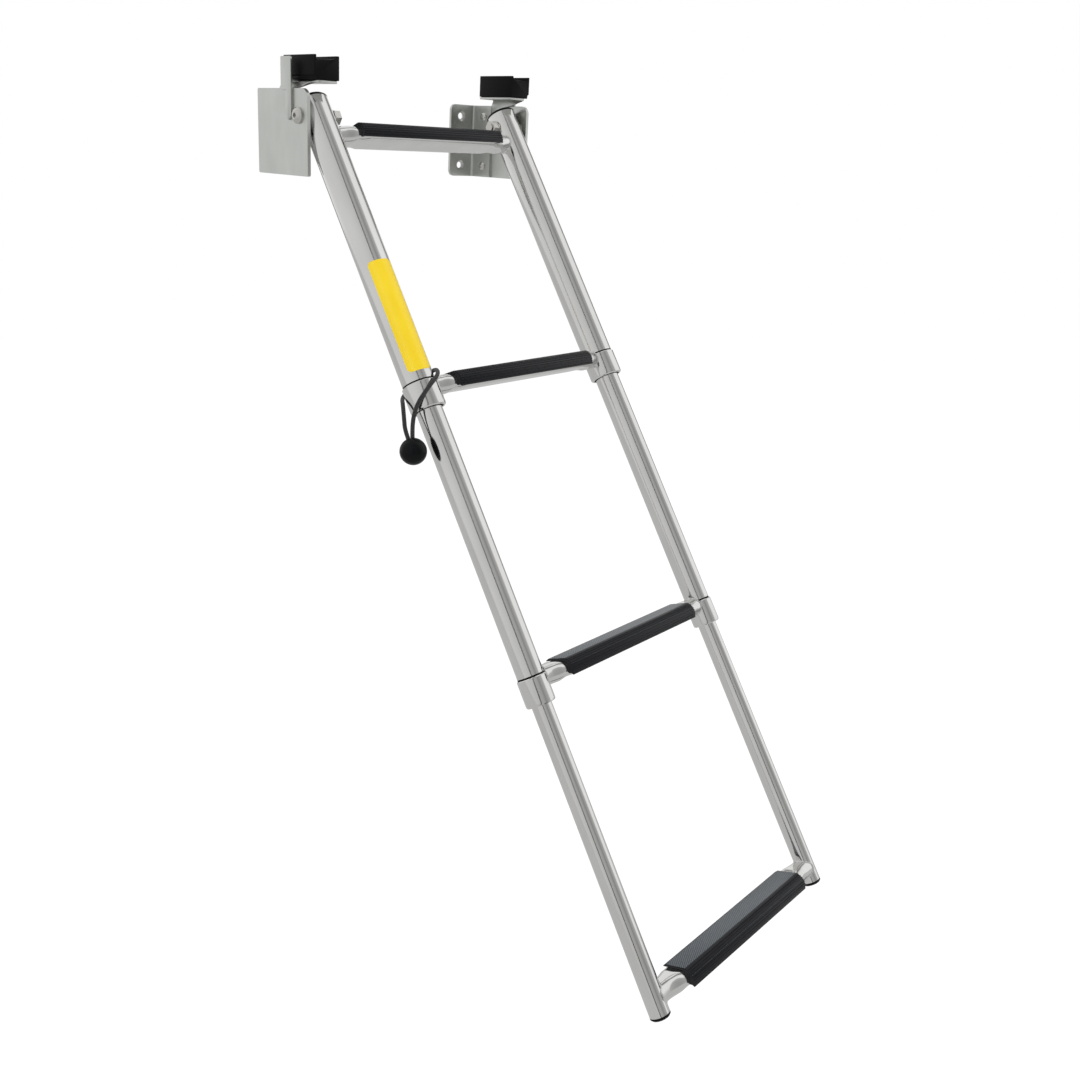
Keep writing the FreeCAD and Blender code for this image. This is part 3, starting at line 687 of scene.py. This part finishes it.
for side_name, rail, side in SIDES:
    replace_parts(make_latch(side_name + "folded_latch", rail, side), side_name + "latch_bar")


# Weld beads where the rungs meet the rails

WELD_RADIUS = 0.8


def make_weld(name, rail, inward, height, seat, body):
    """A thin bead along the joint of a rung's end and the round tube or collar."""
    points = [on_rung(rail + inward * on_seat(v, h, seat), v, h, height)
              for v, h in oval(END_WIDTH, END_HEIGHT)]
    piece, spline = round_bar(name, points, WELD_RADIUS, 2, 3, STEEL_TUBE)
    spline.use_cyclic_u = True
    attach(piece, body)


for rung, height, seat, body in RUNGS:
    for side_name, rail, side in SIDES:
        make_weld(side_name + rung + "_weld", rail, -side, height, seat, body)


# Screws that hold each base angle's leg to the cheek

SCREW_Y = -21.0
SCREW_HEIGHTS = (("upper", 27.5), ("lower", -27.5))
# The head's outline, from the face out and by radius
SCREW_HEAD = ((0.0, 4.6), (1.1, 4.6), (2.0, 3.9), (2.6, 2.5), (2.9, 0.0))


def make_leg_screw(name, rail, side, height):
    """Pan head, turned about its axis, standing on the leg's inner face."""
    mesh = bmesh.new()
    face = rail + side * LEG_INNER
    corners = [mesh.verts.new(Vector((face - side * x, SCREW_Y + r, height)) * MM)
               for x, r in SCREW_HEAD]
    edges = [mesh.edges.new(pair) for pair in zip(corners, corners[1:])]
    bmesh.ops.spin(mesh, geom=corners + edges, cent=Vector((face, SCREW_Y, height)) * MM,
                   axis=(1, 0, 0), angle=2 * math.pi, steps=28, use_merge=True, use_duplicate=False)
    bmesh.ops.remove_doubles(mesh, verts=mesh.verts, dist=SAME_PLACE)
    bottom = [e for e in mesh.edges if e.is_boundary]
    bmesh.ops.contextual_create(mesh, geom=bottom)
    add_piece(name, mesh, FASTENER, "brackets")


for side_name, rail, side in SIDES:
    for place, height in SCREW_HEIGHTS:
        make_leg_screw(side_name + place + "_leg_screw", rail, side, height)


# Stowing cord and ball, by points across from the left rail, towards the climber and up from the
# second rung

BALL_CENTRE = (-32.0, -4.0, -56.3)
BALL_TURN = 35
# The parting groove, in millimetres and as a share of the ball's radius
GROOVE_HALF_WIDTH = 0.25
GROOVE_DEPTH = 0.012
# Along its line, in metres
CORD_ROUTE = (
    (-31.34, -5.06, -50.94), (-29.5, -8.0, -36.0), (-25.5, -7.5, -23.5), (-20.2, -8.367, -10.0),
    (-8.367, -20.2, 0.0), (8.367, -20.2, 9.5), (20.2, -8.367, 15.0), (20.2, 8.367, 14.0),
    (8.367, 20.2, 4.0), (-8.367, 20.2, -6.0), (-20.2, 8.367, -18.0), (-26.5, -0.5, -34.5),
    (-30.67, -3.15, -51.03),
)


def at_second_rung(x, v, h):
    return on_ladder(LEFT_RAIL + x, v, SECOND_RUNG + h)


def make_ball():
    """Moulded ball with a fine parting groove round its middle."""
    mesh = bmesh.new()
    bmesh.ops.create_uvsphere(mesh, u_segments=64, v_segments=40, radius=BALL_RADIUS * MM)
    for vert in mesh.verts:
        if abs(vert.co.z) < GROOVE_HALF_WIDTH * MM:
            vert.co *= 1 - GROOVE_DEPTH
    bmesh.ops.rotate(mesh, verts=mesh.verts, matrix=Matrix.Rotation(math.radians(BALL_TURN), 3, "X"))
    bmesh.ops.translate(mesh, verts=mesh.verts, vec=at_second_rung(*BALL_CENTRE))
    piece = add_piece("cord_ball", mesh, GLOSS_NYLON, "upper_frame")
    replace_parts(piece, "bungee_ball")
    return piece


def make_cord(ball):
    points = [at_second_rung(*point) for point in CORD_ROUTE]
    piece, spline = round_bar("stowing_cord", points, CORD_DIAMETER / 2, 5, 8, SHEATH)
    spline.use_endpoint_u = True
    piece.data.use_fill_caps = True
    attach(piece, "upper_frame")
    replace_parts(piece, "bungee_cord")


make_cord(make_ball())


# Plain yellow label with rounded corners, wrapped on the left outer tube; heights are up the rail
# from the pivot

LABEL_LOW = -272.0
LABEL_HIGH = -160.0
LABEL_FROM = math.radians(-62)
LABEL_TO = math.radians(30)
LABEL_RADIUS = OUTER_TUBE + 0.08
LABEL_CORNER = 3.0
LABEL_THICKNESS = 0.15
LABEL_ACROSS = 28
LABEL_ALONG = 40


def make_label():
    mesh = bmesh.new()
    grid = []
    for j in range(LABEL_ALONG + 1):
        row = []
        h = LABEL_LOW + (LABEL_HIGH - LABEL_LOW) * j / LABEL_ALONG
        edge = min(h - LABEL_LOW, LABEL_HIGH - h, LABEL_CORNER)
        pull = LABEL_CORNER - math.sqrt(LABEL_CORNER ** 2 - (LABEL_CORNER - edge) ** 2)
        first = LABEL_FROM + pull / LABEL_RADIUS
        last = LABEL_TO - pull / LABEL_RADIUS
        for i in range(LABEL_ACROSS + 1):
            turn = first + (last - first) * i / LABEL_ACROSS
            row.append(mesh.verts.new(on_ladder(LEFT_RAIL + LABEL_RADIUS * math.sin(turn),
                                                LABEL_RADIUS * math.cos(turn), h)))
        grid.append(row)
    for lower, upper in zip(grid, grid[1:]):
        for i in range(LABEL_ACROSS):
            mesh.faces.new((lower[i], lower[i + 1], upper[i + 1], upper[i]))
    bmesh.ops.recalc_face_normals(mesh, faces=mesh.faces)
    bmesh.ops.solidify(mesh, geom=mesh.faces[:], thickness=-LABEL_THICKNESS * MM)
    return add_piece("yellow_label", mesh, FILM, "upper_frame")


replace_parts(make_label(), "label_plate")


# Plain white floor, metres from here on

FLOOR_HALF_SIZE = 4.0
FLOOR_CENTRE = (0.12, -0.3, -0.90)


def white_floor():
    """White paint that keeps a faint shadow; mirrored in the metal it is a quieter grey."""
    made, tree = new_material("white_floor")
    path = node(tree, "ShaderNodeLightPath")
    mirrored = path.outputs["Is Glossy Ray"]
    paint = node(tree, "ShaderNodeBsdfDiffuse", Color=srgb("#f4f4f4"))
    glow = node(tree, "ShaderNodeEmission", Color=srgb("#ffffff"),
                Strength=spread(tree, mirrored, 1.12, 0.55))
    seen = calculate(tree, "MAXIMUM", path.outputs["Is Camera Ray"], mirrored)
    mixed = node(tree, "ShaderNodeMixShader", i0=calculate(tree, "MULTIPLY", seen, 0.82),
                 i1=paint.outputs[0], i2=glow.outputs[0])
    node(tree, "ShaderNodeOutputMaterial", Surface=mixed.outputs[0])
    return made


def make_floor():
    mesh = bmesh.new()
    bmesh.ops.create_grid(mesh, x_segments=1, y_segments=1, size=FLOOR_HALF_SIZE)
    bmesh.ops.translate(mesh, verts=mesh.verts, vec=FLOOR_CENTRE)
    data = bpy.data.meshes.new("studio_floor")
    mesh.to_mesh(data)
    mesh.free()
    floor = bpy.data.objects.new("studio_floor", data)
    bpy.context.collection.objects.link(floor)
    data.materials.append(white_floor())


make_floor()


# The room that the metal mirrors: grey levels by shares of a turn from +X, with the bright backdrop
# at 0.12 and the camera at 0.62

EVEN_LIGHT = 0.6
ROOM = (
    (0.0, 0.9), (0.015, 0.3), (0.06, 0.25), (0.075, 0.95), (0.165, 0.95), (0.18, 0.25),
    (0.225, 0.3), (0.245, 0.95), (0.36, 0.78), (0.50, 0.74), (0.60, 0.66), (0.632, 0.62),
    (0.638, 0.02), (0.65, 0.04), (0.657, 0.5), (0.72, 0.44), (0.76, 0.3), (0.80, 0.42),
    (0.85, 0.5), (0.868, 1.0), (0.97, 1.0), (1.0, 0.9),
)


def room_walls(tree):
    """The room's grey level in the direction of a ray."""
    place = node(tree, "ShaderNodeTexCoord")
    part = node(tree, "ShaderNodeSeparateXYZ", Vector=place.outputs["Generated"])
    turn = calculate(tree, "ARCTAN2", part.outputs[1], part.outputs[0])
    share = node(tree, "ShaderNodeMapRange", Value=turn, From_Min=-math.pi, From_Max=math.pi,
                 To_Min=-0.5, To_Max=0.5)
    walls = node(tree, "ShaderNodeValToRGB", i0=calculate(tree, "FRACT", share.outputs[0]))
    steps = walls.color_ramp.elements
    while len(steps) > 1:
        steps.remove(steps[-1])
    steps[0].position = ROOM[0][0]
    steps[0].color = (*[ROOM[0][1]] * 3, 1)
    for where, level in ROOM[1:]:
        steps.new(where).color = (level, level, level, 1)
    return walls.outputs[0]


def studio_world():
    """White where it is seen, an even grey as light, and in reflections the room."""
    world = bpy.data.worlds.new("studio")
    bpy.context.scene.world = world
    world.use_nodes = True
    tree = world.node_tree
    tree.nodes.clear()
    path = node(tree, "ShaderNodeLightPath")
    room = node(tree, "ShaderNodeMix", {"data_type": "FLOAT"}, Factor=path.outputs["Is Glossy Ray"],
                A=EVEN_LIGHT, B=room_walls(tree))
    seen = node(tree, "ShaderNodeMix", {"data_type": "FLOAT"}, Factor=path.outputs["Is Camera Ray"],
                A=room.outputs[0], B=1.0)
    light = node(tree, "ShaderNodeBackground", Color=srgb("#ffffff"), Strength=seen.outputs[0])
    node(tree, "ShaderNodeOutputWorld", Surface=light.outputs[0])


studio_world()


# Soft lamps round the ladder, all aimed at its middle

LADDER_MIDDLE = (0.12, -0.30, -0.32)


def soft_light(name, place, size, watts):
    data = bpy.data.lights.new(name, "AREA")
    data.shape = "RECTANGLE"
    data.size, data.size_y = size
    data.energy = watts
    lamp = bpy.data.objects.new(name, data)
    bpy.context.collection.objects.link(lamp)
    lamp.location = place
    lamp.rotation_mode = "QUATERNION"
    lamp.rotation_quaternion = (Vector(LADDER_MIDDLE) - Vector(place)).to_track_quat("-Z", "Y")
    lamp.visible_glossy = False


soft_light("key_light", (-1.6, -1.2, 1.5), (1.2, 1.2), 22)
soft_light("fill_light", (1.5, -1.8, 0.9), (1.6, 1.2), 12)
soft_light("back_light", (0.6, 1.8, 1.4), (1.4, 1.0), 10)
